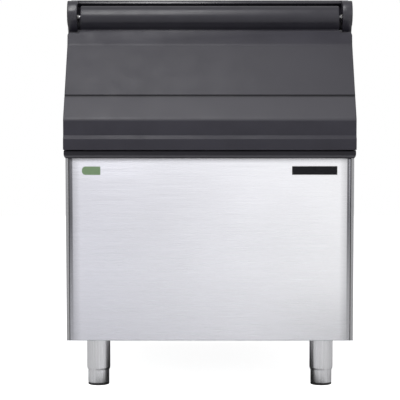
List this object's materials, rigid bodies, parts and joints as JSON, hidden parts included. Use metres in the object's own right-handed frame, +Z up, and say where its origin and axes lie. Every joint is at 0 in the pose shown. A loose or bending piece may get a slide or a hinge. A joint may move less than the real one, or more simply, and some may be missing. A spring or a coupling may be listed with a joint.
{
  "type": "ice storage bin",
  "caption": "Insulated steel ice storage bin with a slanted lift-up front door, an open top that an ice machine stands on, a floor drain and adjustable legs.",
  "frame": {"origin": "centre of the bounding box's base, on the floor", "axes": "+X to the viewer's right, +Y to the back, +Z up; the door faces -Y"},
  "size_m": [0.7786, 0.8478, 1.0315],
  "materials": {
    "back_panel": "matte",
    "base_pan": "matte",
    "door_insulation": "matte",
    "door_liner": "satin",
    "door_skin": "satin",
    "drain_nut": "satin",
    "drain_outlet": "satin",
    "drain_seal": "matte",
    "front_left_foot": "satin",
    "front_left_leg": "satin",
    "front_left_pad": "matte",
    "front_left_plate": "matte",
    "front_panel": "satin",
    "front_right_foot": "satin",
    "front_right_leg": "satin",
    "front_right_pad": "matte",
    "front_right_plate": "matte",
    "ice_baffle": "satin",
    "insulation": "matte",
    "left_back_screw_1": "matte",
    "left_back_screw_2": "matte",
    "left_back_screw_3": "matte",
    "left_baffle_screw": "satin",
    "left_bushing": "satin",
    "left_hinge_pin": "satin",
    "left_lower_bumper": "matte",
    "left_lower_frame_screw": "satin",
    "left_pin_cap": "satin",
    "left_roll_plug": "satin",
    "left_side_frame": "satin",
    "left_side_panel": "satin",
    "left_upper_bumper": "matte",
    "left_upper_frame_screw": "satin",
    "liner": "satin",
    "rear_left_foot": "satin",
    "rear_left_leg": "satin",
    "rear_left_pad": "matte",
    "rear_left_plate": "matte",
    "rear_right_foot": "satin",
    "rear_right_leg": "satin",
    "rear_right_pad": "matte",
    "rear_right_plate": "matte",
    "right_back_screw_1": "matte",
    "right_back_screw_2": "matte",
    "right_back_screw_3": "matte",
    "right_baffle_screw": "satin",
    "right_bushing": "satin",
    "right_hinge_pin": "satin",
    "right_lower_bumper": "matte",
    "right_lower_frame_screw": "satin",
    "right_pin_cap": "satin",
    "right_roll_plug": "satin",
    "right_side_frame": "satin",
    "right_side_panel": "satin",
    "right_upper_bumper": "matte",
    "right_upper_frame_screw": "satin",
    "sill_trim": "satin",
    "top_rail": "satin",
    "top_rim": "satin"
  },
  "bodies": {
    "cabinet": {"back_panel": "back_panel", "base_pan": "base_pan", "drain_nut": "drain_nut", "drain_outlet": "drain_outlet", "drain_seal": "drain_seal", "front_left_leg": "front_left_leg", "front_left_plate": "front_left_plate", "front_panel": "front_panel", "front_right_leg": "front_right_leg", "front_right_plate": "front_right_plate", "ice_baffle": "ice_baffle", "insulation": "insulation", "left_back_screw_1": "left_back_screw_1", "left_back_screw_2": "left_back_screw_2", "left_back_screw_3": "left_back_screw_3", "left_baffle_screw": "left_baffle_screw", "left_bushing": "left_bushing", "left_hinge_pin": "left_hinge_pin", "left_lower_bumper": "left_lower_bumper", "left_lower_frame_screw": "left_lower_frame_screw", "left_pin_cap": "left_pin_cap", "left_side_frame": "left_side_frame", "left_side_panel": "left_side_panel", "left_upper_bumper": "left_upper_bumper", "left_upper_frame_screw": "left_upper_frame_screw", "liner": "liner", "rear_left_leg": "rear_left_leg", "rear_left_plate": "rear_left_plate", "rear_right_leg": "rear_right_leg", "rear_right_plate": "rear_right_plate", "right_back_screw_1": "right_back_screw_1", "right_back_screw_2": "right_back_screw_2", "right_back_screw_3": "right_back_screw_3", "right_baffle_screw": "right_baffle_screw", "right_bushing": "right_bushing", "right_hinge_pin": "right_hinge_pin", "right_lower_bumper": "right_lower_bumper", "right_lower_frame_screw": "right_lower_frame_screw", "right_pin_cap": "right_pin_cap", "right_side_frame": "right_side_frame", "right_side_panel": "right_side_panel", "right_upper_bumper": "right_upper_bumper", "right_upper_frame_screw": "right_upper_frame_screw", "sill_trim": "sill_trim", "top_rail": "top_rail", "top_rim": "top_rim"},
    "door": {"door_skin": "door_skin", "door_liner": "door_liner", "door_insulation": "door_insulation", "left_roll_plug": "left_roll_plug", "right_roll_plug": "right_roll_plug"},
    "front_left_foot_body": {"front_left_foot": "front_left_foot", "front_left_pad": "front_left_pad"},
    "front_right_foot_body": {"front_right_foot": "front_right_foot", "front_right_pad": "front_right_pad"},
    "rear_left_foot_body": {"rear_left_foot": "rear_left_foot", "rear_left_pad": "rear_left_pad"},
    "rear_right_foot_body": {"rear_right_foot": "rear_right_foot", "rear_right_pad": "rear_right_pad"}
  },
  "joints": [
    {"name": "door_hinge", "type": "hinge", "parent": "cabinet", "child": "door", "pos_m": [0, -0.20936, 0.9859], "axis": [-1, 0, 0], "range_deg": [0, 145]},
    {"name": "front_left_foot_height", "type": "slide", "parent": "cabinet", "child": "front_left_foot_body", "axis": [0, 0, -1], "range_m": [0, 0.025]},
    {"name": "front_right_foot_height", "type": "slide", "parent": "cabinet", "child": "front_right_foot_body", "axis": [0, 0, -1], "range_m": [0, 0.025]},
    {"name": "rear_left_foot_height", "type": "slide", "parent": "cabinet", "child": "rear_left_foot_body", "axis": [0, 0, -1], "range_m": [0, 0.025]},
    {"name": "rear_right_foot_height", "type": "slide", "parent": "cabinet", "child": "rear_right_foot_body", "axis": [0, 0, -1], "range_m": [0, 0.025]}
  ]
}
